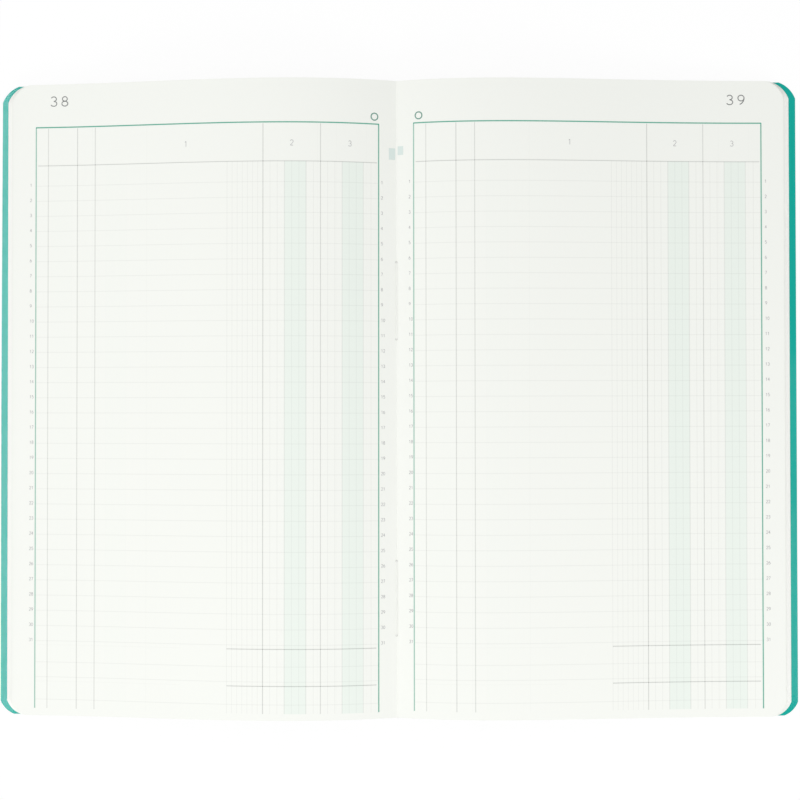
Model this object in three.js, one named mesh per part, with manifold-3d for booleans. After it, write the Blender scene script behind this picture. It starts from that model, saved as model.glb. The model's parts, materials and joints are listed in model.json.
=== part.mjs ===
// An income and expense ledger: forty ruled leaves, sewn through the fold into a soft card cover
// and lying open at the middle. Millimetres, +Z up, the head of the pages towards +Y, the facing
// pages towards -X and +X. The origin is on the table, under the middle of the fold.

import * as THREE from 'three';
import Module from 'manifold-3d';
import { mergeVertices } from 'three/addons/utils/BufferGeometryUtils.js';

// Page and cover
const PAGE_HEIGHT = 320;
const CORNER_RADIUS = 11;
const PAGE_REACH = 195.3; // from the fold to the open page's fore-edge
const LEAF_CREEP = 3.3; // how much farther the leaf next to the cover reaches
const COVER_OVERHANG = 3.4; // of the cover's fore-edge past that leaf
const COVER_THICKNESS = 0.4;
const PAPER_THICKNESS = 0.14;
const AIR_BETWEEN_LEAVES = 0.05;
const LEAVES_PER_SIDE = 20;

// The fold
const SPINE_HALF_WIDTH = 4; // half of the cover's band between its two creases
const SPINE_LIFT = 0.8; // how far the band stands off the table in its middle
const CREASE_GAP = 0.3;
const LEAF_TO_FOLD = 0.45; // from the fold's centre line to a leaf's inner edge

// How the open leaves bow. The top leaf's fold stands GUTTER_RISE above its fore-edge, and a swell
// lies over the line between them: its height, how far from the fold it is highest, and how
// steeply it leaves the fold. The leaves below share the bow evenly, down to the flat cover.
const GUTTER_RISE = 5.4;
const LEFT_SWELL_HEIGHT = 13.1;
const LEFT_SWELL_CREST = 62.9;
const LEFT_STEEPNESS = 1;
const RIGHT_SWELL_HEIGHT = 9.4;
const RIGHT_SWELL_CREST = 51.8;
const RIGHT_STEEPNESS = 1;

// Sewing: four holes through the fold, measured from mid-page towards the head
const FIRST_HOLE = 68.5;
const SECOND_HOLE = 29.7;
const THIRD_HOLE = -81.6;
const FOURTH_HOLE = -118.9;
const THREAD_DIAMETER = 0.5;
const THREAD_HOLE_DIAMETER = 0.9;
const THREAD_TAIL = 8; // the end left outside, past the first and last hole

// How finely curves are stepped
const LEAF_STEPS = [0.02, 0.05, 0.09, 0.14, 0.2, 0.27, 0.35, 0.44, 0.54, 0.65, 0.77, 0.88];
const CORNER_STEPS = 4;
const SPINE_STEPS = 3;
const THREAD_SIDES = 8;

const LEAF_PITCH = PAPER_THICKNESS + AIR_BETWEEN_LEAVES;
const SEWING_HOLES = [FIRST_HOLE, SECOND_HOLE, THIRD_HOLE, FOURTH_HOLE];
const LONGEST_LEAF = PAGE_REACH + LEAF_CREEP;
const COVER_REACH = LONGEST_LEAF + COVER_OVERHANG;
const LEFT = {
  sign: -1,
  swell: { height: LEFT_SWELL_HEIGHT, crest: LEFT_SWELL_CREST, steepness: LEFT_STEEPNESS },
};
const RIGHT = {
  sign: 1,
  swell: { height: RIGHT_SWELL_HEIGHT, crest: RIGHT_SWELL_CREST, steepness: RIGHT_STEEPNESS },
};

const coverCard = new THREE.MeshStandardMaterial({ color: 0x14a58c, roughness: 0.28, metalness: 0 });
const pagePaper = new THREE.MeshStandardMaterial({ color: 0xf4f7f1, roughness: 0.85, metalness: 0 });
const linenThread = new THREE.MeshStandardMaterial({ color: 0xf2f3ee, roughness: 0.8, metalness: 0 });

// Height that the lifted spine band gives whatever lies on it, at a distance from the fold.
function spineRise(distance) {
  const outward = Math.min(distance / SPINE_HALF_WIDTH, 1);
  return SPINE_LIFT * (1 - outward) ** 2;
}

// Height of the top leaf above its own fore-edge: a straight fall from the gutter, plus a swell
// u^a (1 - u)^b scaled to 1 at its crest, where u runs from the fold to the fore-edge.
function bow({ height, crest, steepness }, distance) {
  const u = distance / LONGEST_LEAF;
  const crestU = crest / LONGEST_LEAF;
  const tail = (steepness * (1 - crestU)) / crestU;
  const swell = (u / crestU) ** steepness * ((1 - u) / (1 - crestU)) ** tail;
  return GUTTER_RISE * (1 - u) + height * swell;
}

// Height of the underside of a leaf. Level 1 lies on the cover, the last level is the open page.
function leafHeight(side, level, distance) {
  const stacked = COVER_THICKNESS + AIR_BETWEEN_LEAVES + (level - 1) * LEAF_PITCH;
  const share = level / LEAVES_PER_SIDE;
  return stacked + share * bow(side.swell, distance) + spineRise(distance);
}

function leafReach(level) {
  const crept = (level - 1) / (LEAVES_PER_SIDE - 1);
  return LONGEST_LEAF - crept * LEAF_CREEP;
}

// Cross-lines of a sheet that ends in two rounded corners: its distance from the fold and its
// half height there, ending on the fore-edge itself.
function roundedLines(distances, reach) {
  const straight = PAGE_HEIGHT / 2 - CORNER_RADIUS;
  const lines = distances.map((distance) => ({ distance, halfHeight: PAGE_HEIGHT / 2 }));
  for (let step = 0; step <= CORNER_STEPS; step++) {
    const angle = (step / CORNER_STEPS) * (Math.PI / 2);
    lines.push({
      distance: reach - CORNER_RADIUS + CORNER_RADIUS * Math.sin(angle),
      halfHeight: straight + CORNER_RADIUS * Math.cos(angle),
    });
  }
  return lines;
}

// A thin sheet ruled between cross-lines, bounded by a lower and an upper height at each line.
function sheetGeometry(side, lines, lowerAt, thickness) {
  const positions = [];
  for (const { distance, halfHeight } of lines) {
    const lower = lowerAt(distance);
    for (const z of [lower, lower + thickness]) {
      positions.push(side.sign * distance, -halfHeight, z, side.sign * distance, halfHeight, z);
    }
  }
  // Each line holds four points, in order around the section: 0 1 below, 2 3 above.
  const around = [0, 1, 3, 2];
  const triangles = [];
  const quad = (a, b, c, d) => triangles.push([a, b, c], [a, c, d]);
  for (let line = 0; line < lines.length - 1; line++) {
    for (let corner = 0; corner < 4; corner++) {
      const here = 4 * line + around[corner];
      const next = 4 * line + around[(corner + 1) % 4];
      quad(here, next, next + 4, here + 4);
    }
  }
  const last = 4 * (lines.length - 1);
  quad(0, 2, 3, 1);
  quad(last, last + 1, last + 3, last + 2);
  const index = triangles.flatMap(([a, b, c]) => (side.sign > 0 ? [a, b, c] : [a, c, b]));
  return geometryFrom(positions, index);
}

function geometryFrom(positions, index) {
  const geometry = new THREE.BufferGeometry();
  geometry.setAttribute('position', new THREE.Float32BufferAttribute(positions, 3));
  geometry.setIndex(index);
  geometry.computeVertexNormals();
  return geometry;
}

function leafGeometry(side, level) {
  const distances = LEAF_STEPS.map((share) => share * (PAGE_REACH - CORNER_RADIUS));
  const lines = roundedLines([LEAF_TO_FOLD, ...distances], leafReach(level));
  return sheetGeometry(side, lines, (distance) => leafHeight(side, level, distance), PAPER_THICKNESS);
}

function coverPanelGeometry(side) {
  const lines = roundedLines([SPINE_HALF_WIDTH + CREASE_GAP], COVER_REACH);
  return sheetGeometry(side, lines, () => 0, COVER_THICKNESS);
}

// The cover's band between its creases, arched off the table and pierced for the thread.
function spineGeometry(wasm) {
  const across = [];
  for (let step = -SPINE_STEPS; step <= SPINE_STEPS; step++) {
    across.push((step / SPINE_STEPS) * SPINE_HALF_WIDTH);
  }
  const lower = across.map((x) => new THREE.Vector2(x, spineRise(Math.abs(x))));
  const upper = lower.map(({ x, y }) => new THREE.Vector2(x, y + COVER_THICKNESS)).reverse();
  const outline = new THREE.Shape([...lower, ...upper]);
  const band = new THREE.ExtrudeGeometry(outline, { depth: PAGE_HEIGHT, bevelEnabled: false });
  band.rotateX(Math.PI / 2);
  band.translate(0, PAGE_HEIGHT / 2, 0);
  let solid = solidOf(wasm, band);
  for (const hole of SEWING_HOLES) {
    const drill = new THREE.CylinderGeometry(
      THREAD_HOLE_DIAMETER / 2,
      THREAD_HOLE_DIAMETER / 2,
      4 * (SPINE_LIFT + COVER_THICKNESS),
      THREAD_SIDES,
    );
    drill.rotateX(Math.PI / 2);
    drill.translate(0, hole, SPINE_LIFT);
    solid = solid.subtract(solidOf(wasm, drill));
  }
  return geometryOf(solid);
}

// The thread lies in the plane of the fold: along the gutter between the first two holes, outside
// to the third, and along the gutter again to the last, with a short tail at each end.
function threadPath() {
  const radius = THREAD_DIAMETER / 2;
  const foldTop = Math.max(
    ...[LEFT, RIGHT].map((side) => leafHeight(side, LEAVES_PER_SIDE, LEAF_TO_FOLD)),
  );
  const inside = foldTop + PAPER_THICKNESS + AIR_BETWEEN_LEAVES + radius;
  const outside = SPINE_LIFT - AIR_BETWEEN_LEAVES - radius;
  return [
    [FIRST_HOLE + THREAD_TAIL, outside],
    [FIRST_HOLE, outside],
    [FIRST_HOLE, inside],
    [SECOND_HOLE, inside],
    [SECOND_HOLE, outside],
    [THIRD_HOLE, outside],
    [THIRD_HOLE, inside],
    [FOURTH_HOLE, inside],
    [FOURTH_HOLE, outside],
    [FOURTH_HOLE - THREAD_TAIL, outside],
  ];
}

// A round tube along a path in the plane of the fold, mitred at each bend.
function threadGeometry() {
  const path = threadPath().map(([y, z]) => new THREE.Vector2(y, z));
  const positions = [];
  path.forEach((point, n) => {
    const before = point.clone().sub(path[Math.max(n - 1, 0)]).normalize();
    const after = path[Math.min(n + 1, path.length - 1)].clone().sub(point).normalize();
    const along = before.clone().add(after).normalize();
    const mitre = n > 0 && n < path.length - 1 ? 1 / along.dot(after) : 1;
    for (let side = 0; side < THREAD_SIDES; side++) {
      const angle = (side / THREAD_SIDES) * 2 * Math.PI;
      const across = (THREAD_DIAMETER / 2) * Math.cos(angle) * mitre;
      const sideways = (THREAD_DIAMETER / 2) * Math.sin(angle);
      positions.push(sideways, point.x - along.y * across, point.y + along.x * across);
    }
  });
  const index = [];
  for (let ring = 0; ring < path.length - 1; ring++) {
    for (let side = 0; side < THREAD_SIDES; side++) {
      const a = ring * THREAD_SIDES + side;
      const b = ring * THREAD_SIDES + ((side + 1) % THREAD_SIDES);
      index.push(a, b, b + THREAD_SIDES, a, b + THREAD_SIDES, a + THREAD_SIDES);
    }
  }
  const lastRing = (path.length - 1) * THREAD_SIDES;
  for (let side = 1; side < THREAD_SIDES - 1; side++) {
    index.push(0, side + 1, side);
    index.push(lastRing, lastRing + side, lastRing + side + 1);
  }
  return geometryFrom(positions, index);
}

function solidOf(wasm, geometry) {
  const bare = geometry.clone();
  bare.deleteAttribute('normal');
  bare.deleteAttribute('uv');
  const merged = mergeVertices(bare, 1e-4);
  return new wasm.Manifold(
    new wasm.Mesh({
      numProp: 3,
      vertProperties: new Float32Array(merged.attributes.position.array),
      triVerts: new Uint32Array(merged.index.array),
    }),
  );
}

function geometryOf(solid) {
  const mesh = solid.getMesh();
  return geometryFrom(Array.from(mesh.vertProperties), Array.from(mesh.triVerts));
}

function named(name, geometry, material) {
  const mesh = new THREE.Mesh(geometry, material.clone());
  mesh.name = name;
  return mesh;
}

// Leaves are numbered as in the bound ledger: 1 lies on the front cover, and the two at the open
// page are the last on the left and the first on the right.
function leafName(side, level) {
  const number = side === LEFT ? level : 2 * LEAVES_PER_SIDE + 1 - level;
  return `leaf_${String(number).padStart(2, '0')}`;
}

function leaves(side) {
  const stack = new THREE.Group();
  for (let level = 1; level <= LEAVES_PER_SIDE; level++) {
    stack.add(named(leafName(side, level), leafGeometry(side, level), pagePaper));
  }
  return stack;
}

const wasm = await Module();
wasm.setup();

const ledger = new THREE.Group();
ledger.add(
  named('front_cover', coverPanelGeometry(LEFT), coverCard),
  named('back_cover', coverPanelGeometry(RIGHT), coverCard),
  named('cover_spine', spineGeometry(wasm), coverCard),
  named('sewing_thread', threadGeometry(), linenThread),
  leaves(LEFT),
  leaves(RIGHT),
);

export default ledger;
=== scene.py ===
"""An open income and expense ledger: ruled leaves sewn through the fold of a glossy card cover."""

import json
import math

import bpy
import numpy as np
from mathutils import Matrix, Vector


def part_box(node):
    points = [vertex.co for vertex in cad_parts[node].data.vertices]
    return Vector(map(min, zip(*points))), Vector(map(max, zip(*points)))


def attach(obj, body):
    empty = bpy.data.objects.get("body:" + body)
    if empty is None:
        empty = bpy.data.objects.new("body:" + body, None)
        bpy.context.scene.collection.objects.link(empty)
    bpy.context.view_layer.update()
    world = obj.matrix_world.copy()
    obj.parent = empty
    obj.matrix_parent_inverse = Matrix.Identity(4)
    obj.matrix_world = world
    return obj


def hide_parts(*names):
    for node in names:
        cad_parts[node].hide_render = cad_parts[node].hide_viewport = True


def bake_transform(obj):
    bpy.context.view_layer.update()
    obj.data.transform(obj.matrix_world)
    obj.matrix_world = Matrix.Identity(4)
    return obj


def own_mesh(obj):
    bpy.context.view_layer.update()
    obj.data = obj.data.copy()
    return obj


bl_info = {
    "name": "Sewn Ledger",
    "version": (1, 0, 0),
    "blender": (4, 5, 0),
    "location": "View3D > Sidebar > Ledger",
    "description": "Builds an open sewn ledger with ruled leaves, figures, card cover and thread",
    "category": "Add Mesh",
}

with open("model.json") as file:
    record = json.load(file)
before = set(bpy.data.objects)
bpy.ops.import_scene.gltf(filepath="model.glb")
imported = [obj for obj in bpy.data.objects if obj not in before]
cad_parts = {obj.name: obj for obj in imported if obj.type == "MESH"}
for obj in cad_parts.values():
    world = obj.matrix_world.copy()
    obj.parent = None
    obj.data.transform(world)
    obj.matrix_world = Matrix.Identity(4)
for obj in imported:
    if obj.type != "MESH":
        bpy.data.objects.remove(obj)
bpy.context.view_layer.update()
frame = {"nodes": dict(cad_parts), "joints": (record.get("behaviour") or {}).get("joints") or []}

MM = 0.001
LEFT, RIGHT = -1, 1
NO_PRINT = -0.05  # a printed-page coordinate that lies outside everything printed

LEAF_NAMES = sorted(name for name in frame["nodes"] if name.startswith("leaf_"))
LEVELS = len(LEAF_NAMES) // 2
COVER_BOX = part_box("back_cover")
SPINE_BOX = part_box("cover_spine")
OUTER_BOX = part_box(LEAF_NAMES[-1])
PAGE_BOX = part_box(LEAF_NAMES[LEVELS])
HINGE_HEIGHT = frame["joints"][0]["pos_m"][2]


def metres(name, description, default):
    """A setting that is a length."""
    return bpy.props.FloatProperty(name=name, description=description, default=default,
                                   unit="LENGTH")


def plain(name, description, default):
    """A setting that is a plain number."""
    return bpy.props.FloatProperty(name=name, description=description, default=default)


def hue(name, description, default):
    """A setting that is a colour."""
    return bpy.props.FloatVectorProperty(name=name, description=description, default=default,
                                         subtype="COLOR", size=3)


def off_square(name, default):
    """A setting for how a page is printed askew."""
    return bpy.props.FloatVectorProperty(
        name=name, default=default, size=4, precision=5,
        description="Stretch, shift towards the head in metres, slope of rows and lean of columns")


class LedgerSizes(bpy.types.PropertyGroup):
    """The paper, the cover and how the open leaves bow."""

    page_height: metres("Page height", "A leaf, from head to foot", PAGE_BOX[1].y - PAGE_BOX[0].y)
    page_reach: metres("Page reach", "The open page, from fold to fore-edge", PAGE_BOX[1].x)
    longest_leaf: metres("Longest leaf", "The leaf on the cover, likewise", OUTER_BOX[1].x)
    head_inset: metres("Head inset", "From a head corner to where its rounding starts", 8.3 * MM)
    foot_inset: metres("Foot inset", "From a foot corner to where its rounding starts", 7.0 * MM)
    paper_thickness: metres("Paper thickness", "One leaf", 0.14 * MM)
    leaf_air: metres("Air between leaves", "Least gap from one leaf to the next", 0.05 * MM)
    cover_reach: metres("Cover reach", "From the fold to the cover's fore-edge", COVER_BOX[1].x)
    front_lean: metres("Front lean", "Cut in from the front fore-edge at the head", 0.55 * MM)
    cover_thickness: metres("Cover thickness", "The card", COVER_BOX[1].z - COVER_BOX[0].z)
    spine_half_width: metres("Half of the spine", "From the fold to a crease", SPINE_BOX[1].x)
    spine_lift: metres("Spine lift", "From the table to the band between the creases",
                       SPINE_BOX[1].z - COVER_BOX[1].z)
    gutter_rise: metres("Gutter rise", "The open page's fold, above its fore-edge", 5.4 * MM)
    left_swell: metres("Left swell", "The left page's bow, above a straight fall", 12.98 * MM)
    left_crest: metres("Left crest", "Where the left page bows most, from the fold", 62.9 * MM)
    right_swell: metres("Right swell", "The right page's bow, above a straight fall", 9.4 * MM)
    right_crest: metres("Right crest", "Where the right page bows most, from the fold", 51.8 * MM)
    cockle: metres("Cockle", "Depth of the faint waves in the open page", 0.16 * MM)


class LedgerPrint(bpy.types.PropertyGroup):
    """Where the ruling lies on a page, from the frame's left side and down from the head."""

    gutter_margin: metres("Gutter margin", "From the fold to the ruled frame", 9.35 * MM)
    frame_width: metres("Frame width", "Of the ruled frame", 176.4 * MM)
    left_askew: off_square("Left page askew", (1.001, -0.00029, 0.00283, 0.0009))
    right_askew: off_square("Right page askew", (0.9992, 0.00034, 0.00215, 0.0))
    head_margin: metres("Head margin", "From the page's head to the ruled frame", 22.1 * MM)
    first_row: metres("First row", "From the page's head to the first ruled row", 51.9 * MM)
    row_pitch: metres("Row pitch", "From one ruled row to the next", 7.687 * MM)
    rows: bpy.props.IntProperty(
        name="Rows", description="Numbered rows on a page", default=31, min=1)
    first_page: bpy.props.IntProperty(
        name="Left page number", description="Number of the open left page", default=38, min=1)


class LedgerColours(bpy.types.PropertyGroup):
    """Colours of the paper, the inks, the card and the thread."""

    paper: hue("Paper", "Unprinted leaf", (0.93, 0.945, 0.9))
    rule_ink: hue("Rule ink", "Grey of the fine ruling and the figures", (0.06, 0.07, 0.065))
    frame_ink: hue("Frame ink", "Green of the ruled frame", (0.05, 0.38, 0.26))
    tint: hue("Column tint", "Green tint of the shaded cash columns, times the paper",
              (0.918, 0.967, 0.95))
    card: hue("Cover card", "Teal under the laminate", (0.003, 0.41, 0.345))
    thread: hue("Thread", "Bleached sewing thread", (0.99, 0.99, 0.97))


class LedgerStage(bpy.types.PropertyGroup):
    """The camera over the open ledger, and the light."""

    camera_place: bpy.props.FloatVectorProperty(
        name="Camera place", description="Where the lens is", subtype="TRANSLATION", size=3,
        default=(0.02175, -0.01519, 0.9))
    camera_turn: bpy.props.FloatVectorProperty(
        name="Camera turn", description="Tilt and turn from looking straight down",
        subtype="EULER", size=3, default=(0.01613, 0.02246, -0.0013))
    focal_length: plain("Focal length", "In millimetres, on a 36 mm wide sensor", 79.74)
    room_light: plain("Room light", "Level of the even light from all round", 0.692)
    window_light: plain("Window light", "Of the narrow soft box over the left page", 19.6)
    glint_light: plain("Glint light", "Of the soft boxes that the right cover mirrors", 4.5)
    side_light: plain("Side light", "Of the low soft box far out on the left", 2.0)
    foot_light: plain("Foot light", "Of the wide soft box beyond the foot", 3.0)


def operator(operation):
    """The method that adds one kind of Math node to a Value."""
    return lambda value, *others: value.math(operation, *others)


class Value:
    """A shader socket that takes Python arithmetic: each operation adds the Math node for it."""

    def __init__(self, finish, socket):
        self.finish = finish
        self.socket = socket

    def math(self, operation, *others, clamp=False):
        settings = {"operation": operation, "use_clamp": clamp}
        return self.finish.node("ShaderNodeMath", dict(enumerate((self, *others))), settings)

    __add__ = __radd__ = operator("ADD")
    __mul__ = __rmul__ = operator("MULTIPLY")
    __sub__ = operator("SUBTRACT")
    __truediv__ = operator("DIVIDE")
    __mod__ = operator("FLOORED_MODULO")
    __abs__ = operator("ABSOLUTE")

    def __rsub__(self, other):
        return self.finish.number(other) - self

    def clamped(self):
        return self.math("ADD", 0.0, clamp=True)


class Finish:
    """A material or a world under construction, and the one way to add nodes to it."""

    def __init__(self, owner):
        self.owner = owner
        self.owner.use_nodes = True
        self.tree = owner.node_tree
        self.tree.nodes.clear()

    def node(self, kind, sockets=None, settings=None, output=0):
        """Adds a node, its settings first and then its sockets, and returns an output of it."""
        made = self.tree.nodes.new(kind)
        for name, setting in (settings or {}).items():
            setattr(made, name, setting)
        for key, given in (sockets or {}).items():
            if isinstance(given, Value):
                self.tree.links.new(given.socket, made.inputs[key])
            else:
                made.inputs[key].default_value = given
        return Value(self, made.outputs[output]) if made.outputs else None

    def number(self, value):
        made = self.node("ShaderNodeValue")
        made.socket.default_value = value
        return made

    def mix(self, factor, first, second):
        """first where factor is 0, second where it is 1, both colours."""
        sockets = {0: factor, 6: first, 7: second}
        return self.node("ShaderNodeMix", sockets, {"data_type": "RGBA"}, 2)

    def split(self, vector):
        first = self.node("ShaderNodeSeparateXYZ", {0: vector})
        return [Value(self, output) for output in first.socket.node.outputs]

    def printed(self, name):
        """A printed coordinate pair of the piece."""
        return self.split(self.node("ShaderNodeUVMap", settings={"uv_map": name}))[:2]

    def noise(self, vector, scale, detail=2.0, roughness=0.5):
        """Cloudy noise round 0.5, with features about 1 / scale metres across."""
        sockets = {"Vector": vector, "Scale": scale, "Detail": detail, "Roughness": roughness}
        return self.node("ShaderNodeTexNoise", sockets)

    def bump(self, strength, depth, height):
        """A normal that leans as if the surface rose by height times depth, in metres."""
        sockets = {"Strength": strength, "Distance": depth, "Height": height}
        return self.node("ShaderNodeBump", sockets)

    def place(self):
        """The point on the piece, in the ledger's own metres."""
        return self.node("ShaderNodeTexCoord", output=3)

    def surface(self, **sockets):
        """Ends the material in one Principled shader with these sockets, spaces written as _."""
        named = {key.replace("_", " "): given for key, given in sockets.items()}
        shader = self.node("ShaderNodeBsdfPrincipled", named)
        self.node("ShaderNodeOutputMaterial", {"Surface": shader})
        return self.owner


def colour(rgb):
    return (*rgb, 1.0)


def shaded(rgb, share):
    """rgb with that share of its light, as a socket's colour."""
    return colour([channel * share for channel in rgb])


def thinned(rgb, strength):
    """An ink that darkens the paper by that share of what rgb does, as a socket's colour."""
    return colour([1 - strength * (1 - channel) for channel in rgb])


# Printed ruling, finishes, painted shade and painted light, in millimetres: across from the
# frame's left side, and down from the page's head

RULE_HALF_WIDTH = 0.3
FRAME_HALF_WIDTH = 0.45
HEADING_LINE = 41.6
RULING_FOOT = 316.5
COLUMN_LINES = {6.35: 0.34, 21.65: 0.42, 31.0: 0.37, 118.15: 0.46, 146.85: 0.4}
TINT_LINES = {100.0: 0.1, 128.9: 0.11, 139.6: 0.14, 157.7: 0.11, 168.4: 0.17, 172.4: 0.09}
TINTED_COLUMNS = ((128.9, 139.6), (157.7, 168.4))
FINE_COLUMNS = ((100.0, 118.1, 2.586, 0.085), (118.1, 146.8, 3.6, 0.09), (146.8, 168.4, 3.6, 0.09))
TOTAL_LINES = {284.5: 0.5, 302.85: 0.5}
LAST_ROWS = {293.2: 0.09, 300.7: 0.09, 312.0: 0.09}
ROW_STRENGTH = 0.092
HEADING_STRENGTH = 0.43
SIDE_STRENGTHS = (0.9, 1.25)  # of the frame's left and right sides
TOP_STRENGTH = 1.4
SHOW_THROUGH = 0.06
UPRIGHTS_GAP = 0.6  # from the frame's head line down to where the columns' lines start
FINE_GAP = 0.5  # from a column's sides to the fine lines in it
HEADING_GAPS = (1.0, 0.8)  # from the frame's sides to the ends of the line under the heads
TOTALS_GAP = 1.2  # from the frame's right side to the ends of the totals' lines
HOLE_SHADE_REACH = 0.8  # how far the painted shade round a sewing hole reaches
STEPPED_EDGES = 195.5  # how far from the fold the leaves' stepped edges start, and the painted light on them
FIRST_SLIT = 0.43  # from the table up to the first line of painted shade between two leaves
LEAF_PITCH = 0.19  # from one line of painted shade to the next
SLIT_HALF_WIDTH = 0.07
TWIST_PITCH = 0.9  # length of thread in which its plies go round once


def rule(coordinate, where, half_width=RULE_HALF_WIDTH):
    """1 on a printed line, falling evenly to 0 at half_width on either side."""
    return abs(coordinate - where).math("MULTIPLY_ADD", -1 / half_width, 1.0, clamp=True)


def repeated_rule(coordinate, start, pitch, half_width=RULE_HALF_WIDTH):
    """The same line at start and at every pitch from there."""
    return rule((coordinate - (start - pitch / 2)) % pitch, pitch / 2, half_width)


def between(coordinate, low, high, blur=0.12):
    """1 between low and high, and 0 outside, with edges blur wide."""
    rising = (coordinate - low).math("MULTIPLY_ADD", 1 / blur, 0.5, clamp=True)
    falling = (coordinate - high).math("MULTIPLY_ADD", -1 / blur, 0.5, clamp=True)
    return rising * falling


def length_of(first, second):
    """Length of a vector with these two parts."""
    return (first * first + second * second).math("SQRT")


def weighted(finish, coordinate, lines):
    """All of the lines in a table of place and strength."""
    total = finish.number(0.0)
    for where, strength in lines.items():
        total = total + rule(coordinate, where) * strength
    return total


def grey_ruling(finish, across, down, page):
    """Strength of the grey lines: columns, their fine divisions, the rows and the totals."""
    width = page.frame_width / MM
    first = page.first_row / MM
    pitch = page.row_pitch / MM
    last = first + (page.rows - 1) * pitch
    inside = between(down, page.head_margin / MM + UPRIGHTS_GAP, RULING_FOOT)
    below_heading = between(down, HEADING_LINE, RULING_FOOT)
    uprights = weighted(finish, across, COLUMN_LINES) * inside
    fine = weighted(finish, across, TINT_LINES)
    for low, high, step, strength in FINE_COLUMNS:
        lines = repeated_rule(across, low, step) * between(across, low + FINE_GAP, high - FINE_GAP)
        fine = fine + lines * strength
    rows = repeated_rule(down, first, pitch) * between(down, first - 1, last + 1) * ROW_STRENGTH
    rows = (rows + weighted(finish, down, LAST_ROWS)) * between(across, 0.0, width)
    totals = between(across, FINE_COLUMNS[0][0], width - TOTALS_GAP)
    totals = totals * weighted(finish, down, TOTAL_LINES)
    heading = rule(down, HEADING_LINE) * HEADING_STRENGTH
    heading = heading * between(across, HEADING_GAPS[0], width - HEADING_GAPS[1])
    return (uprights + fine * below_heading + rows + totals + heading).clamped()


def green_frame(across, down, page):
    """Strength of the green frame: a head line and two sides, open at the foot."""
    head = page.head_margin / MM
    width = page.frame_width / MM
    left, right = (rule(across, where, FRAME_HALF_WIDTH) * strength
                   for where, strength in zip((0.0, width), SIDE_STRENGTHS))
    sides = (left + right) * between(down, head, RULING_FOOT)
    top = rule(down, head, FRAME_HALF_WIDTH) * between(across, -0.2, width + 0.2)
    return (sides + top * TOP_STRENGTH).clamped()


def tinted_columns(across, down):
    """1 on the green tint of the two shaded cash columns."""
    first, second = (between(across, low, high) for low, high in TINTED_COLUMNS)
    return (first + second) * between(down, HEADING_LINE, RULING_FOOT)


def needle_pricks(finish, place):
    """Painted shade for the sewing holes pricked through the fold: 1 at each hole, fading out round
    it.
    """
    across, along, _ = finish.split(place)
    total = finish.number(0.0)
    for hole in HOLES:
        away = length_of(across / MM, along / MM - hole)
        total = total + away.math("MULTIPLY_ADD", -1 / HOLE_SHADE_REACH, 1.0, clamp=True)
    return total.clamped()


def ruled_paper(page, colours):
    """Smooth writing paper with the ledger's ruling, a trace of the page behind it, painted shade
    in the sewing holes and painted light on the leaves' stepped edges.
    """
    finish = Finish(bpy.data.materials.new("ruled_page_paper"))
    across, down = (printed * (1 / MM) for printed in finish.printed("ruling"))
    behind = page.frame_width / MM - across
    place = finish.place()
    cloud = finish.noise(place, 14.0, 3.0)
    tooth = finish.noise(place, 2600.0, 3.0, 0.6)
    fibre = finish.noise(place, 700.0, 2.0)
    paper = finish.mix(cloud, shaded(colours.paper, 0.994), shaded(colours.paper, 1.004))
    paper = finish.mix(fibre * 0.035, paper, shaded(colours.paper, 0.8))
    tinted = colour([c * t for c, t in zip(colours.paper, colours.tint)])
    tint = tinted_columns(across, down) + tinted_columns(behind, down) * SHOW_THROUGH
    grey = grey_ruling(finish, across, down, page)
    grey = grey + grey_ruling(finish, behind, down, page) * SHOW_THROUGH
    pressed = 0.9 + 0.2 * fibre
    frame_lines = green_frame(across, down, page) * pressed
    printed = finish.mix(tint, paper, tinted)
    printed = finish.mix(grey * pressed, printed, colour(colours.rule_ink))
    printed = finish.mix(frame_lines, printed, colour(colours.frame_ink))
    # Painted shade in the sewing holes: the paper darkens there towards 0.35 of its colour.
    hole_shade = needle_pricks(finish, place) * 0.75
    printed = finish.mix(hole_shade, printed, shaded(colours.paper, 0.35))
    # Painted light: past where the stepped edges start, the paper is lightened towards white,
    # against the shade between the steps.
    past_page = abs(finish.split(place)[0]).math("SUBTRACT", STEPPED_EDGES * MM)
    edge = past_page.math("MULTIPLY", 1 / MM, clamp=True)
    looks = finish.mix(edge * 0.9, printed, (1.0, 1.0, 0.97, 1.0))
    return finish.surface(Base_Color=looks, Roughness=0.58 + 0.1 * fibre,
                          Normal=finish.bump(0.12, 0.02 * MM, tooth), Specular_IOR_Level=0.35)


def printed_ink(name, rgb, strength):
    """Ink on paper: thinner where the paper's fibres took less of it."""
    finish = Finish(bpy.data.materials.new(name))
    grain = finish.noise(finish.place(), 2200.0, 2.0)
    ink = finish.mix(grain, thinned(rgb, strength), thinned(rgb, strength * 0.72))
    return finish.surface(Base_Color=ink, Roughness=0.6 + 0.1 * grain, Specular_IOR_Level=0.3)


def laminated_card(colours):
    """Coloured card under a clear gloss film, whose faint orange peel breaks its reflections."""
    finish = Finish(bpy.data.materials.new("laminated_cover_card"))
    place = finish.place()
    cloud = finish.noise(place, 9.0, 3.0)
    peel = finish.noise(place, 420.0, 2.0)
    fibre = finish.noise(place, 1500.0, 2.0)
    film = 0.16 + 0.16 * finish.noise(place, 260.0, 2.0)
    card = finish.mix(cloud * 0.6 + fibre * 0.4, shaded(colours.card, 0.9),
                      shaded(colours.card, 1.08))
    return finish.surface(Base_Color=card, Roughness=0.4 + 0.12 * cloud,
                          Normal=finish.bump(0.05, 0.03 * MM, peel), Specular_IOR_Level=0.04,
                          Coat_Weight=film, Coat_Roughness=0.07)


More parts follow.
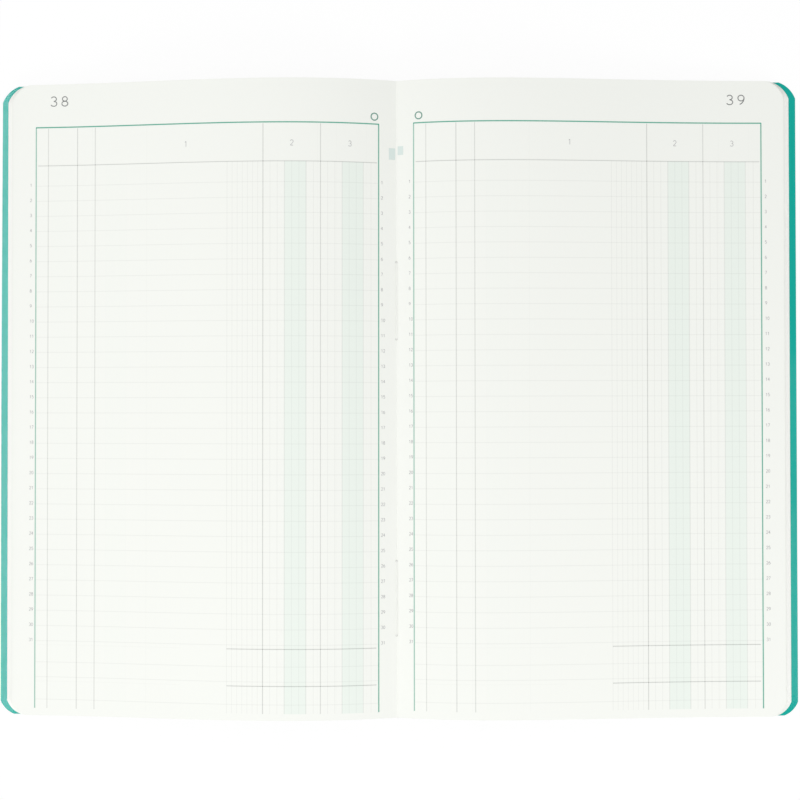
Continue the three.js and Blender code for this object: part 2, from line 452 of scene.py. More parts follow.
def stacked_edges(name, colours, shade, depth_of):
    """The end of many pressed leaves, in paper darkened by that share as painted shade, with fine
    dark lines of painted shade where the gaps between the leaves would be.
    depth_of gives the place across the leaves, in millimetres, from a point's coordinates."""
    finish = Finish(bpy.data.materials.new(name))
    place = finish.place()
    # Painted shade: dark lines where the gaps between the leaves would be, on a body that has none.
    slit_shade = repeated_rule(depth_of(*finish.split(place)), FIRST_SLIT, LEAF_PITCH, SLIT_HALF_WIDTH)
    cloud = finish.noise(place, 60.0, 2.0)
    edges = finish.mix(slit_shade * (0.6 + 0.4 * cloud), shaded(colours.paper, shade),
                       shaded(colours.paper, shade * 0.6))
    return finish.surface(Base_Color=edges, Roughness=0.6 + 0.15 * cloud)


def depth_in_stack(across, along, height):
    return height / MM


def depth_in_fold(across, along, height):
    """Folded sheets lie inside one another, in half rounds about the cover's hinge line."""
    return length_of(across / MM, (height - HINGE_HEIGHT) / MM)


def sewing_thread(colours):
    """Two-ply thread: a slanting twist in its bump, and fluff that dulls it."""
    finish = Finish(bpy.data.materials.new("twisted_sewing_thread"))
    around, along = finish.printed("twist")
    ply = ((around * 2.0 + along / (TWIST_PITCH * MM)) * math.tau).math("SINE")
    fluff = finish.noise(finish.place(), 5200.0, 2.0)
    strands = (0.5 + 0.35 * ply + 0.3 * (fluff - 0.5)).clamped()
    base = finish.mix(strands, shaded(colours.thread, 0.94), colour(colours.thread))
    return finish.surface(Base_Color=base, Roughness=0.7 + 0.15 * fluff,
                          Normal=finish.bump(0.4, 0.03 * MM, ply + fluff))


def placed(name, data):
    """A new object in the scene."""
    piece = bpy.data.objects.new(name, data)
    bpy.context.scene.collection.objects.link(piece)
    return piece


def mesh_piece(name, points, quads, materials, slots=None, smooth_angle=40, ends=()):
    """A mesh object from an array of points, an array of four-cornered faces, and any ends that
    close it, each a loop of points."""
    mesh = bpy.data.meshes.new(name)
    faces = quads.reshape(-1, 4).tolist() + [loop.tolist() for loop in ends]
    mesh.from_pydata(points.reshape(-1, 3).tolist(), [], faces)
    for material in materials:
        mesh.materials.append(material)
    if slots is not None:
        mesh.polygons.foreach_set("material_index", np.asarray(slots, dtype=np.int32))
    mesh.polygons.foreach_set("use_smooth", np.ones(len(mesh.polygons), dtype=bool))
    mesh.update()
    mesh.set_sharp_from_angle(angle=math.radians(smooth_angle))
    return placed(name, mesh)


def set_uv(piece, name, corners):
    """Gives a piece a UV map from an array with one pair for each face corner."""
    layer = piece.data.uv_layers.new(name=name)
    layer.data.foreach_set("uv", np.asarray(corners, dtype=np.float32).ravel())


def grid_quads(rows, columns, first=0):
    """Faces of a grid of rows x columns points, facing up where row runs +X and column runs +Y."""
    here = first + np.arange(rows - 1)[:, None] * columns + np.arange(columns - 1)[None, :]
    return np.stack([here, here + columns, here + columns + 1, here + 1], axis=-1).reshape(-1, 4)


def slab_quads(rows, columns):
    """Faces of a closed slab of two stacked grids, the lower one first: top, bottom and rim."""
    count = rows * columns
    top = grid_quads(rows, columns, count)
    bottom = grid_quads(rows, columns)[:, ::-1]
    row = np.arange(rows - 1) * columns
    column = np.arange(columns - 1)
    foot = np.stack([row, row + columns, row + columns + count, row + count], axis=-1)
    head = (foot + columns - 1)[:, ::-1]
    end = (rows - 1) * columns + column
    outer = np.stack([end, end + 1, end + 1 + count, end + count], axis=-1)
    inner = np.stack([column, column + 1, column + 1 + count, column + count], axis=-1)[:, ::-1]
    return np.concatenate([top, bottom, foot, head, outer, inner])


def grid_points(across, along, height):
    """Points of a grid, from coordinates that may be shared by a row or a column."""
    return np.stack(np.broadcast_arrays(across, along, height), axis=-1)


def slab_piece(name, points, material, side=RIGHT, smooth_angle=40):
    """A closed slab between the two layers of a grid, which runs outwards on one side of the
    fold."""
    quads = slab_quads(*points.shape[1:3])[:, ::side]
    return mesh_piece(name, points, quads, [material], smooth_angle=smooth_angle)


def bow(sizes, side, distance):
    """Height of the open page over its fore-edge: a straight fall from the gutter, plus a swell
    u (1 - u)^b scaled to 1 at its crest, where u runs from the fold to the longest fore-edge."""
    left = side == LEFT
    height = sizes.left_swell if left else sizes.right_swell
    top = (sizes.left_crest if left else sizes.right_crest) / sizes.longest_leaf
    share = np.clip(distance / sizes.longest_leaf, 0, 1)
    swelling = share / top * ((1 - share) / (1 - top)) ** ((1 - top) / top)
    return sizes.gutter_rise * (1 - share) + height * swelling


def spine_rise(sizes, distance):
    """Height that the lifted band gives the cover, and less and less of it the leaves above:
    lift (1 - d / half width) squared."""
    outward = np.minimum(distance / sizes.spine_half_width, 1)
    return sizes.spine_lift * (1 - outward) ** 2


def stack_height(sizes, level):
    """Height of a leaf's underside at its fore-edge, where the stack lies flat."""
    pitch = sizes.paper_thickness + sizes.leaf_air
    return sizes.cover_thickness + sizes.leaf_air + (level - 1) * pitch


def cockle(sizes, distance, along):
    """Faint waves, only downwards: long and short crossed sines that fade in from the fold."""
    fade = np.clip(distance / (60 * MM), 0, 1)
    long_wave = np.sin(along / (38 * MM) + 1.3) * np.cos(distance / (29 * MM))
    short_wave = np.sin(along / (17 * MM) + distance / (50 * MM))
    return sizes.cockle * fade * ((long_wave + 0.6 * short_wave) / 3.2 - 0.5)


def leaf_height(sizes, side, level, distance, along):
    """Height of a leaf's underside: its place in the stack, its share of the bow, and the spine."""
    share = level / LEVELS
    rise = bow(sizes, side, distance) + cockle(sizes, distance, along)
    return stack_height(sizes, level) + share * rise + (1 - share) * spine_rise(sizes, distance)


def leaf_reach(sizes, level):
    crept = (level - 1) / (LEVELS - 1)
    return sizes.longest_leaf - crept * (sizes.longest_leaf - sizes.page_reach)


CORNER_ANGLE = math.radians(20)  # between an edge of a sheet and the arc of its corner
CROWDING = 1.6  # the power by which cross-lines crowd towards the fold
ARC_STEPS = 1200

# Cross-lines of a sheet before its fore-edge's corners, those round a corner, and points on each

OPEN_LEAF = (96, 14, 41)
LOWER_LEAF = (56, 14, 13)
COVER_SHEET = (24, 16, 25)
CORE_SHEET = (8, 10, 5)


def corner_radius(inset):
    """Radius of a corner's arc, which runs between two points inset from the corner and meets
    both edges at the corner angle."""
    return inset / (math.cos(CORNER_ANGLE) - math.sin(CORNER_ANGLE))


def corner_cut(distances, reach, inset):
    """How far a corner's rounding cuts in at each distance from the fold."""
    radius = corner_radius(inset)
    sine = math.cos(CORNER_ANGLE) - np.clip(reach - distances, 0, inset) / radius
    return radius * (math.cos(CORNER_ANGLE) - np.sqrt(1 - sine ** 2))


def sheet_grid(sizes, reach, height, start, detail):
    """Cross-lines of a sheet from start to its fore-edge: distances from the fold, crowded near
    it by a power, then evenly round the head corner's arc. With them, the places along each at
    even shares of its length from the foot to the head."""
    steps, corner_steps, columns = detail
    inset = sizes.head_inset
    straight = start + (reach - inset - start) * np.linspace(0, 1, steps) ** CROWDING
    turn = np.linspace(CORNER_ANGLE, np.pi / 2 - CORNER_ANGLE, corner_steps + 1)[1:]
    round_corner = reach - corner_radius(inset) * (math.cos(CORNER_ANGLE) - np.sin(turn))
    distances = np.concatenate([straight, round_corner])[:, None]
    foot = corner_cut(distances, reach, sizes.foot_inset) - height / 2
    head = height / 2 - corner_cut(distances, reach, inset)
    return distances, foot + (head - foot) * np.linspace(0, 1, columns)


def travelled(line):
    """Length of a line up to each of its points."""
    return np.concatenate([[0], np.cumsum(np.linalg.norm(np.diff(line, axis=0), axis=1))])


def page_arc(sizes, side, level):
    """Distances from the fold and the lengths along the bowed paper to each of them."""
    distances = np.linspace(0, leaf_reach(sizes, level), ARC_STEPS)
    heights = leaf_height(sizes, side, level, distances, 0 * distances)
    return distances, travelled(np.stack([distances, heights], axis=-1))


def is_left_hand(side, face):
    return (side == LEFT) == (face == "top")


def to_print(page, left_hand, length, along, page_height):
    """Printed coordinates of a point at a length from the fold and a place along it. A page is
    printed a little askew: stretched from the gutter, shifted towards the head, with its rows
    sloping and its columns leaning."""
    stretch, shift, slope, lean = page.left_askew if left_hand else page.right_askew
    down = page_height / 2 - along + shift + slope * length
    across = (length - page.gutter_margin - lean * down) / stretch
    return (page.frame_width - across if left_hand else across), down


def to_paper(page, left_hand, across, down, page_height):
    """The inverse of to_print: the length from the fold, and the place along it."""
    stretch, shift, slope, lean = page.left_askew if left_hand else page.right_askew
    length = page.gutter_margin + stretch * (page.frame_width - across if left_hand else across)
    length = length + lean * down
    return length, page_height / 2 - down + shift + slope * length


def leaf_piece(sizes, page, side, level, name, material):
    """One leaf: a thin closed sheet whose underside is z(d, y) of leaf_height, with its own
    printed coordinates, measured along the bowed paper, on each face."""
    detail = OPEN_LEAF if level >= LEVELS - 2 else LOWER_LEAF
    across, along = sheet_grid(sizes, leaf_reach(sizes, level), sizes.page_height, 0.0, detail)
    low = leaf_height(sizes, side, level, across, along)
    layers = np.stack([low, low + sizes.paper_thickness])
    piece = slab_piece(name, grid_points(side * across, along, layers), material, side)
    length = np.interp(across, *page_arc(sizes, side, level))
    printed = [to_print(page, is_left_hand(side, face), length, along, sizes.page_height)
               for face in ("bottom", "top")]
    printed = np.moveaxis(printed, 1, -1).reshape(-1, 2)
    rows, columns = along.shape
    corners = printed[slab_quads(rows, columns)[:, ::side]]
    corners[2 * (rows - 1) * (columns - 1):] = NO_PRINT
    set_uv(piece, "ruling", corners)
    return piece


# Figures are drawn as strokes in a box 0.6 wide and 1 high: a straight line has two points, and
# an arc a centre, two radii and the angles where it starts and ends

FIGURES = {
    "0": [(0.3, 0.5, 0.27, 0.5, 0, 360)],
    "1": [(0.12, 0.8, 0.34, 1), (0.34, 1, 0.34, 0)],
    "2": [(0.3, 0.72, 0.26, 0.28, 165, -38), (0.505, 0.548, 0.04, 0), (0.04, 0, 0.57, 0)],
    "3": [(0.28, 0.76, 0.24, 0.24, 155, -90), (0.28, 0.26, 0.28, 0.26, 90, -155)],
    "4": [(0.42, 0, 0.42, 1), (0.42, 1, 0.02, 0.3), (0.02, 0.3, 0.6, 0.3)],
    "5": [(0.52, 1, 0.12, 1), (0.12, 1, 0.09, 0.55), (0.29, 0.32, 0.27, 0.32, 137, -150)],
    "6": [(0.3, 0.3, 0.27, 0.3, 0, 360), (0.6, 0.3, 0.57, 0.7, 180, 108)],
    "7": [(0.04, 1, 0.57, 1), (0.57, 1, 0.2, 0)],
    "8": [(0.3, 0.76, 0.22, 0.24, 0, 360), (0.3, 0.26, 0.27, 0.26, 0, 360)],
    "9": [(0.3, 0.7, 0.27, 0.3, 0, 360), (0, 0.7, 0.57, 0.7, 0, -72)],
}
FIGURE_WIDTH = 0.6
ARC_STEP = 18  # degrees
INK_LIFT = 0.012 * MM
INK_DEPTH = 0.008 * MM

# Type: height and stroke in millimetres, the gap between two figures times the height, and how
# much wider than their box they are

PAGE_NUMBER = (4.8, 0.52, 0.47, 1.2)
COLUMN_NUMBER = (2.7, 0.3, 0.2, 1.0)
ROW_NUMBER = (1.5, 0.24, 0.16, 1.0)

# Where figures and marks are printed, measured as the ruling is

LEFT_PAGE_NUMBER = (7.45, 8.9)
RIGHT_PAGE_NUMBER = (17.45, 10.35)  # across is from the frame's right side here
COLUMN_NUMBERS_ACROSS = (77.9, 131.7, 160.8)
COLUMN_NUMBERS_DOWN = 32.4
LEFT_ROW_NUMBERS = (-3.12, 1.28)  # from the frame's left side, and from its right side
RIGHT_ROW_NUMBERS = (-2.65, 1.78)
ROW_NUMBER_RISE = 0.5  # above the row's line
RINGS_ACROSS = (2.2, 2.6)  # inwards from the frame's side next to the fold, left and right page
RING_DOWN = 18.4
RING_RADIUS = 1.75
RING_STROKE = 0.6
RING_STEPS = 33
LEFT_BAR = (0.5, 3.9, 33.8, 39.6)  # near and far from the fold, top and foot
RIGHT_BAR = (0.8, 3.8, 33.4, 37.8)
BAR_RIBBONS = 8


def stroke_line(stroke):
    """Points along a stroke of a figure: a straight line, or an arc c + (rx cos t, ry sin t)."""
    if len(stroke) == 4:
        return np.array([stroke[:2], stroke[2:]])
    x, y, wide, tall, start, end = stroke
    turn = np.radians(np.linspace(start, end, 3 + int(abs(end - start) / ARC_STEP)))
    return np.stack([x + wide * np.cos(turn), y + tall * np.sin(turn)], axis=-1)


def normals(line):
    """Unit vectors square to a line, on its left."""
    along = np.gradient(line, axis=0)
    along /= np.linalg.norm(along, axis=1, keepdims=True)
    return np.stack([-along[:, 1], along[:, 0]], axis=-1)


def ribbon(line, width):
    """Left and right sides of a line of the given width."""
    reach = normals(line) * width / 2
    return line + reach, line - reach


def figure_ribbons(text, start, middle, type_size):
    """Ribbons of a printed number from start across, with its middle that far down."""
    height, stroke, gap, stretch = type_size
    advance = height * (FIGURE_WIDTH * stretch + gap)
    found = []
    for place, figure in enumerate(text):
        for line in map(stroke_line, FIGURES[figure]):
            across = start + place * advance + height * stretch * line[:, 0]
            down = middle + height * (0.5 - line[:, 1])
            found.append(ribbon(np.stack([across, down], axis=-1), stroke))
    return found


def page_number(page, number, left_hand):
    """The page's number, in its outer head corner."""
    start, middle = LEFT_PAGE_NUMBER if left_hand else RIGHT_PAGE_NUMBER
    if not left_hand:
        start = page.frame_width / MM - start
    return figure_ribbons(str(number), start, middle, PAGE_NUMBER)


def small_figures(page, left_hand):
    """The numbers of a page's columns, and of its rows on either side."""
    left, right = LEFT_ROW_NUMBERS if left_hand else RIGHT_ROW_NUMBERS
    ribbons = []
    for column, start in enumerate(COLUMN_NUMBERS_ACROSS, start=1):
        ribbons += figure_ribbons(str(column), start, COLUMN_NUMBERS_DOWN, COLUMN_NUMBER)
    for row in range(page.rows):
        middle = (page.first_row + row * page.row_pitch) / MM - ROW_NUMBER_RISE
        for start in (left, page.frame_width / MM + right):
            ribbons += figure_ribbons(str(row + 1), start, middle, ROW_NUMBER)
    return ribbons


def page_ring(page, left_hand):
    """A plain green ring over the frame's corner next to the fold."""
    left, right = RINGS_ACROSS
    centre = page.frame_width / MM - left if left_hand else right
    turn = np.linspace(0, math.tau, RING_STEPS)
    ring = [centre + RING_RADIUS * np.cos(turn), RING_DOWN + RING_RADIUS * np.sin(turn)]
    return [ribbon(np.stack(ring, axis=-1), RING_STROKE)]


def page_bar(page, left_hand):
    """A plain green bar next to the fold, in narrow ribbons side by side that follow its curve."""
    near, far, top, foot = LEFT_BAR if left_hand else RIGHT_BAR
    edges = np.linspace(near, far, BAR_RIBBONS + 1) - page.gutter_margin / MM
    if left_hand:
        edges = page.frame_width / MM - edges[::-1]
    line = np.linspace([0, top], [0, foot], 4)
    return [ribbon(line + [(low + high) / 2, 0], high - low) for low, high in zip(edges, edges[1:])]


def print_piece(sizes, page, side, level, face, number, name, inks):
    """All figures and marks of one page: thin raised ribbons laid on the bowed paper, where a
    printed point (X, Y) lies at the distance from the fold whose length along the paper is X."""
    left_hand = is_left_hand(side, face)
    groups = [page_number(page, number, left_hand), small_figures(page, left_hand),
              page_ring(page, left_hand), page_bar(page, left_hand)]
    distances, lengths = page_arc(sizes, side, level)
    lift = sizes.paper_thickness + INK_LIFT if face == "top" else -INK_LIFT - INK_DEPTH
    points, quads, slots = [], [], []
    first = 0
    for ink, sides in ((ink, sides) for ink, group in enumerate(groups) for sides in group):
        strip = np.stack(sides, axis=1) * MM
        length, along = to_paper(page, left_hand, strip[..., 0], strip[..., 1], sizes.page_height)
        distance = np.interp(length, lengths, distances)
        height = leaf_height(sizes, side, level, distance, along) + lift
        layers = np.stack([height, height + INK_DEPTH])
        points.append(grid_points(side * distance, along, layers).reshape(-1, 3))
        faces = slab_quads(len(strip), 2) + first
        quads.append(faces if face == "top" else faces[:, ::-1])
        slots.append(np.full(len(faces), ink))
        first += len(points[-1])
    return mesh_piece(name, np.concatenate(points), np.concatenate(quads), inks,
                      np.concatenate(slots), 60)


CREASE_ZONE = 9 * MM  # from the fold, where the cover's cross-lines lie close
CREASE_LINES = 46
CREASE_WIDTH = 0.25 * MM
CREASE_RISE = 0.12 * MM  # of the card's outside at a crease
CREASE_SINK = 0.1 * MM  # how much thinner the card is there
CORE_RECESS = 0.35 * MM  # from the leaves' edges to the stack's body
CORE_START = 4.6 * MM
CORE_DROP = 0.06 * MM  # from the open page's underside to the top of the stack's body
FOLD_RECESS = 0.4 * MM
FOLD_DROP = 0.03 * MM  # from the cover's hinge line to the flat of the gathered folds
FOLD_CLEARANCE = 0.12 * MM  # from the gathered folds to the cover
FOLD_FLAT = 0.01 * MM
# Share of the paper's colour kept on the stacks' and the folds' ends: painted shade for the light
# lost between the leaves
STACK_SHADE = 0.84
FOLD_SHADE = 0.6


def both_sides(half, sign):
    """Values outwards from the fold, with their mirror image, times sign, before them."""
    return np.concatenate([sign * half[:0:-1], half])


def cover_piece(sizes, material):
    """The card cover: a flat sheet from fore-edge to fore-edge with four round corners, whose
    band between the creases lifts by spine_rise. Its front fore-edge is cut in, from nothing at
    mid-height to front_lean at the head. Grooves exp(-(x / width) squared) mark the creases."""
    reach = sizes.cover_reach
    outer, along = sheet_grid(sizes, reach, sizes.page_height, CREASE_ZONE, COVER_SHEET)
    inner = np.linspace(0, CREASE_ZONE, CREASE_LINES)[:-1, None]
    along = both_sides(np.concatenate([np.repeat(along[:1], len(inner), axis=0), along]), 1)
    across = both_sides(np.concatenate([inner, outer]), -1)
    lean = sizes.front_lean * np.clip(2 * along / sizes.page_height, 0, 1)
    across = across * (1 - np.where(across < 0, lean, 0) / reach)
    crease = np.exp(-((np.abs(across) - sizes.spine_half_width) / CREASE_WIDTH) ** 2)
    low = spine_rise(sizes, np.abs(across)) + CREASE_RISE * crease
    high = low + sizes.cover_thickness - CREASE_SINK * crease
    return slab_piece("card_cover", grid_points(across, along, np.stack([low, high])), material)


def stack_core_piece(sizes, side, name, material):
    """The body of a pressed stack of leaves, inside the fanned ones: a flat slab as thick as the
    stack is at its fore-edge, set back a little from the leaves' edges all round."""
    height = sizes.page_height - 2 * CORE_RECESS
    layers = []
    for level, drop in ((1, 0.0), (LEVELS, CORE_DROP)):
        reach = leaf_reach(sizes, level) - CORE_RECESS
        across, along = sheet_grid(sizes, reach, height, CORE_START, CORE_SHEET)
        layers.append(grid_points(side * across, along, stack_height(sizes, level) - drop))
    return slab_piece(name, np.stack(layers), material, side, 30)


def fold_core_piece(sizes, material):
    """The gathered folds of the sheets on the spine: half a round bar below the cover's hinge
    line, whose section is the arc of a circle closed by its chord."""
    chord = HINGE_HEIGHT - FOLD_DROP
    radius = HINGE_HEIGHT - sizes.spine_lift - sizes.cover_thickness - FOLD_CLEARANCE
    turn = np.linspace(-np.pi, 0, 25)[:, None]
    along = np.linspace(-1, 1, 9) * (sizes.page_height / 2 - FOLD_RECESS)
    layers = chord + np.stack([radius * np.sin(turn), 0 * turn + FOLD_FLAT])
    points = grid_points(radius * np.cos(turn), along, layers)
    return slab_piece("gathered_folds", points, material, smooth_angle=50)


# Sewing, in millimetres: the holes from mid-page towards the head, and the thread

HOLES = (68.5, 29.7, -81.6, -118.9)
THREAD_RADIUS = 0.18
THREAD_TAIL = 8.0
THREAD_BEND = 0.55
BEND_STEPS = 7
THREAD_STEP = 1.0  # longest stretch of thread between two rings of its points
THREAD_SIDES = 12
FOLD_GAP = 0.45  # from the fold to where the paper's height beside the thread is taken


def thread_route(sizes):
    """Corners of the thread in the plane of the fold: along the gutter between the first two
    holes, outside to the third, along the gutter to the last, with a tail at each end."""
    fold = leaf_height(sizes, RIGHT, LEVELS, np.array([FOLD_GAP * MM]), np.zeros(1))[0]
    inside = (fold + sizes.paper_thickness + sizes.leaf_air) / MM + THREAD_RADIUS
    outside = (sizes.spine_lift - sizes.leaf_air) / MM - THREAD_RADIUS
    first, second, third, fourth = HOLES
    return np.array([
        (first + THREAD_TAIL, outside), (first, outside), (first, inside), (second, inside),
        (second, outside), (third, outside), (third, inside), (fourth, inside), (fourth, outside),
        (fourth - THREAD_TAIL, outside)])


def rounded_route(corners, radius, steps):
    """A route whose corners are turned by quadratic curves that start radius before each."""
    found = [corners[0]]
    share = np.linspace(0, 1, steps)[:, None]
    for before, corner, after in zip(corners, corners[1:], corners[2:]):
        start = corner + radius * (before - corner) / np.linalg.norm(before - corner)
        end = corner + radius * (after - corner) / np.linalg.norm(after - corner)
        found.extend((1 - share) ** 2 * start + 2 * share * (1 - share) * corner + share ** 2 * end)
    found.append(corners[-1])
    return np.array(found)


def thread_piece(sizes, material):
    """The sewing thread: a circle carried along its rounded route, with a flat face at each end.
    Its printed coordinates are the share of the way round and the metres along it."""
    route = rounded_route(thread_route(sizes), THREAD_BEND, BEND_STEPS)
    lengths = travelled(route)
    finer = np.unique(np.concatenate([np.arange(0, lengths[-1], THREAD_STEP), lengths]))
    route = np.stack([np.interp(finer, lengths, route[:, k]) for k in (0, 1)], axis=-1)
    side = np.arange(THREAD_SIDES)
    turn = side / THREAD_SIDES * math.tau
    offset = THREAD_RADIUS * np.cos(turn)[None, :, None] * normals(route)[:, None, :]
    across = np.broadcast_to(THREAD_RADIUS * np.sin(turn), offset.shape[:2])
    points = np.concatenate([across[..., None], route[:, None, :] + offset], axis=-1) * MM
    ring = np.arange(len(route) - 1)[:, None] * THREAD_SIDES
    here, after = ring + side, ring + (side + 1) % THREAD_SIDES
    walls = np.stack([here, after, after + THREAD_SIDES, here + THREAD_SIDES], axis=-1)
    piece = mesh_piece("stitched_thread", points, walls, [material], smooth_angle=60,
                       ends=(side[::-1], ring[-1] + THREAD_SIDES + side))
    around = np.stack([side, side + 1, side + 1, side], axis=-1) / THREAD_SIDES
    along = np.stack([finer[:-1], finer[:-1], finer[1:], finer[1:]], axis=-1)[:, None] * MM
    corners = np.stack(np.broadcast_arrays(around, along), axis=-1).reshape(-1, 2)
    set_uv(piece, "twist", np.concatenate([corners, np.zeros((2 * THREAD_SIDES, 2))]))
    return piece


def leaf_name(side, level):
    number = level if side == LEFT else 2 * LEVELS + 1 - level
    return f"leaf_{number:02d}"


def leaf_body(side, level):
    if level == LEVELS:
        return "left_page" if side == LEFT else "right_page"
    return "front_half" if side == LEFT else "back_half"


def press_flat(piece, sizes, level):
    """Computes the leaf's height in the stack, which nothing uses, and gives the piece its own copy
    of its mesh.
    """
    stack_height(sizes, level)
    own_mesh(piece)


class LEDGER_OT_cover(bpy.types.Operator):
    """Make the laminated card cover"""

    bl_idname = "ledger.cover"
    bl_label = "Card Cover"

    def execute(self, context):
        sizes = context.scene.ledger_sizes
        cover = cover_piece(sizes, laminated_card(context.scene.ledger_colours))
        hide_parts("front_cover", "back_cover", "cover_spine")
        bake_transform(cover)
        return {"FINISHED"}


class LEDGER_OT_leaves(bpy.types.Operator):
    """Make the ruled leaves of both halves, from the open page down to the cover"""

    bl_idname = "ledger.leaves"
    bl_label = "Ruled Leaves"

    def execute(self, context):
        scene = context.scene
        paper = ruled_paper(scene.ledger_print, scene.ledger_colours)
        for level in range(LEVELS, 0, -1):
            for side in (LEFT, RIGHT):
                node = leaf_name(side, level)
                leaf = leaf_piece(scene.ledger_sizes, scene.ledger_print, side, level,
                                  "ruled_" + node, paper)
                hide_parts(node)
                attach(leaf, leaf_body(side, level))
                press_flat(leaf, scene.ledger_sizes, level)
        return {"FINISHED"}


class LEDGER_OT_figures(bpy.types.Operator):
    """Print the page, column and row numbers on the pages that can be seen"""

    bl_idname = "ledger.figures"
    bl_label = "Printed Figures"

    def execute(self, context):
        scene = context.scene
        colours = scene.ledger_colours
        dark_green = [channel * 0.6 for channel in colours.frame_ink]
        inks = [printed_ink("number_ink", colours.rule_ink, 0.9),
                printed_ink("small_figure_ink", colours.rule_ink, 0.6),
                printed_ink("mark_ink", dark_green, 1.0),
                printed_ink("pale_mark_ink", colours.frame_ink, 0.34)]
        open_page = scene.ledger_print.first_page
        pages = ((LEFT, LEVELS - 1, "top"), (LEFT, LEVELS, "bottom"), (LEFT, LEVELS, "top"),
                 (RIGHT, LEVELS, "top"), (RIGHT, LEVELS, "bottom"), (RIGHT, LEVELS - 1, "top"))
        for number, (side, level, face) in enumerate(pages, start=open_page - 2):
            figures = print_piece(scene.ledger_sizes, scene.ledger_print, side, level, face, number,
                                  f"print_on_page_{number}", inks)
            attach(figures, leaf_body(side, level))
            press_flat(figures, scene.ledger_sizes, level)
        return {"FINISHED"}


class LEDGER_OT_stack(bpy.types.Operator):
    """Make the pressed body of each stack of leaves and the gathered folds at the spine"""

    bl_idname = "ledger.stack"
    bl_label = "Stack and Folds"

    def execute(self, context):
        sizes = context.scene.ledger_sizes
        colours = context.scene.ledger_colours
        # Both finishes carry painted shade for the gaps between the leaves.
        edges = stacked_edges("stacked_leaf_edges_painted_shade", colours, STACK_SHADE, depth_in_stack)
        rounds = stacked_edges("gathered_fold_edges_painted_shade", colours, FOLD_SHADE, depth_in_fold)
        stacks = ((LEFT, "front_half", "left_stack"), (RIGHT, "back_half", "right_stack"))
        for side, body, name in stacks:
            core = stack_core_piece(sizes, side, name, edges)
            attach(core, body)
        folds = fold_core_piece(sizes, rounds)
        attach(folds, "spine")
        return {"FINISHED"}


class LEDGER_OT_thread(bpy.types.Operator):
    """Sew the thread through the fold"""

    bl_idname = "ledger.thread"
    bl_label = "Sewing Thread"

    def execute(self, context):
        sizes = context.scene.ledger_sizes
        thread = thread_piece(sizes, sewing_thread(context.scene.ledger_colours))
        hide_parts("sewing_thread")
        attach(thread, "spine")
        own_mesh(thread)
        return {"FINISHED"}


# Soft boxes, in metres: where each is, its two sizes, and the point that it faces

WINDOW_BOX = ((-0.436, 0.015, 0.95), (0.76, 0.0225), (-0.1, 0.015, 0))
LOW_GLINT_BOX = ((0.392, -0.2, 0.95), (0.2, 0.03), (0.2, -0.2, 0))
HIGH_GLINT_BOX = ((0.392, -0.02, 0.95), (0.16, 0.03), (0.2, -0.02, 0))
HIGH_GLINT_SHARE = 0.45
SIDE_BOX = ((-1.6, 0.0, 0.75), (1.6, 0.5), (0, 0, 0))
FOOT_BOX = ((0.4, -1.05, 0.75), (1.2, 0.5), (0, 0, 0))
TABLE_HALF_WIDTH = 4
TABLE_DROP = 0.2 * MM
TABLE_GREY = 0.9
TABLE_GLOW = 1.015  # of the plain white that the camera sees over most of the table's shading
GLOW_SHARE = 0.9


def soft_box(name, box, brightness, mirrored=True):
    """A rectangular lamp of an even brightness, which glossy surfaces may or may not mirror."""
    place, size, aim = box
    lamp = bpy.data.lights.new(name, "AREA")
    lamp.shape = "RECTANGLE"
    lamp.size, lamp.size_y = size
    lamp.energy = brightness * size[0] * size[1] * math.pi
    piece = placed(name, lamp)
    piece.location = place
    piece.visible_glossy = mirrored
    away = np.array(place) - np.array(aim)
    tilt = math.acos(away[2] / float(np.linalg.norm(away)))
    piece.rotation_euler = (tilt, 0, math.atan2(away[1], away[0]) + math.pi / 2)


def table_top():
    """A white table that shows white to the camera and keeps a soft part of the shadow."""
    finish = Finish(bpy.data.materials.new("white_table"))
    diffuse = finish.node("ShaderNodeBsdfDiffuse", {"Color": colour([TABLE_GREY] * 3)})
    white = finish.node("ShaderNodeEmission", {"Color": (1, 1, 1, 1), "Strength": TABLE_GLOW})
    camera = finish.node("ShaderNodeLightPath")
    shown = finish.node("ShaderNodeMixShader", {0: camera * GLOW_SHARE, 1: diffuse, 2: white})
    finish.node("ShaderNodeOutputMaterial", {"Surface": shown})
    corners = np.array([[-1, -1, 0], [1, -1, 0], [1, 1, 0], [-1, 1, 0]]) * TABLE_HALF_WIDTH
    table = mesh_piece("table_top", corners - [0, 0, TABLE_DROP], np.array([[0, 1, 2, 3]]),
                       [finish.owner])


def room(level):
    """Even light of that level from all round, in which the camera sees plain white."""
    finish = Finish(bpy.data.worlds.new("studio"))
    even = finish.node("ShaderNodeBackground", {"Color": (1, 1, 1, 1), "Strength": level})
    white = finish.node("ShaderNodeBackground", {"Color": (1, 1, 1, 1), "Strength": 1.0})
    camera = finish.node("ShaderNodeLightPath")
    shown = finish.node("ShaderNodeMixShader", {0: camera, 1: even, 2: white})
    finish.node("ShaderNodeOutputWorld", {"Surface": shown})
    bpy.context.scene.world = finish.owner


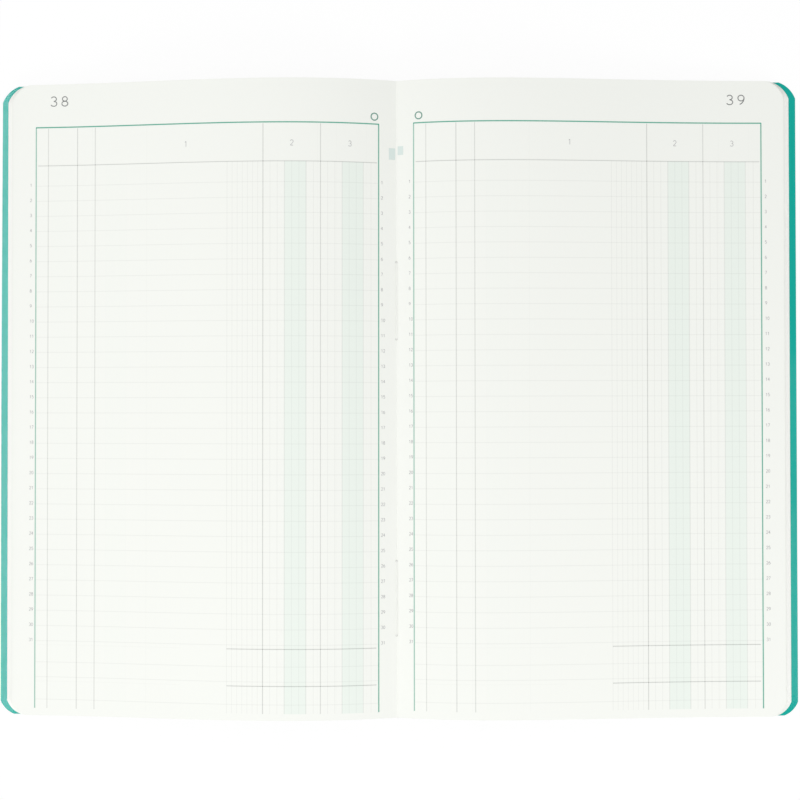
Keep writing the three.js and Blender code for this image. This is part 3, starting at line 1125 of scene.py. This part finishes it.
class LEDGER_OT_stage(bpy.types.Operator):
    """Set up the white table, the soft light and the camera over the open pages"""

    bl_idname = "ledger.stage"
    bl_label = "Stage"

    def execute(self, context):
        scene = context.scene
        stage = scene.ledger_stage
        table_top()
        room(stage.room_light)
        soft_box("window_box", WINDOW_BOX, stage.window_light)
        soft_box("low_glint_box", LOW_GLINT_BOX, stage.glint_light)
        soft_box("high_glint_box", HIGH_GLINT_BOX, stage.glint_light * HIGH_GLINT_SHARE)
        soft_box("side_box", SIDE_BOX, stage.side_light, mirrored=False)
        soft_box("foot_box", FOOT_BOX, stage.foot_light, mirrored=False)
        camera = placed("camera", bpy.data.cameras.new("camera"))
        camera.data.sensor_fit = "HORIZONTAL"
        camera.data.sensor_width = 36.0
        camera.data.lens = stage.focal_length
        camera.data.clip_start = 0.01
        camera.location = stage.camera_place
        camera.rotation_euler = stage.camera_turn
        scene.camera = camera
        scene.view_settings.view_transform = "Standard"
        return {"FINISHED"}


STEPS = (LEDGER_OT_stage, LEDGER_OT_cover, LEDGER_OT_leaves, LEDGER_OT_figures, LEDGER_OT_stack,
         LEDGER_OT_thread)


class LEDGER_PT_sidebar(bpy.types.Panel):
    """The ledger's pieces and its settings, in the 3D view's sidebar"""

    bl_idname = "LEDGER_PT_sidebar"
    bl_label = "Sewn Ledger"
    bl_space_type = "VIEW_3D"
    bl_region_type = "UI"
    bl_category = "Ledger"

    def draw(self, context):
        for step in STEPS:
            self.layout.operator(step.bl_idname)
        for group in GROUPS:
            box = self.layout.box()
            settings = getattr(context.scene, group)
            for name in settings.__annotations__:
                box.prop(settings, name)


GROUPS = {"ledger_sizes": LedgerSizes, "ledger_print": LedgerPrint, "ledger_colours": LedgerColours,
          "ledger_stage": LedgerStage}


def register():
    for group, settings in GROUPS.items():
        bpy.utils.register_class(settings)
        setattr(bpy.types.Scene, group, bpy.props.PointerProperty(type=settings))
    for step in STEPS:
        bpy.utils.register_class(step)
    bpy.utils.register_class(LEDGER_PT_sidebar)


def unregister():
    bpy.utils.unregister_class(LEDGER_PT_sidebar)
    for step in reversed(STEPS):
        bpy.utils.unregister_class(step)
    for group, settings in GROUPS.items():
        delattr(bpy.types.Scene, group)
        bpy.utils.unregister_class(settings)


def main():
    register()
    for step in STEPS:
        getattr(bpy.ops.ledger, step.bl_idname.split(".")[1])()


if __name__ == "__main__":
    main()
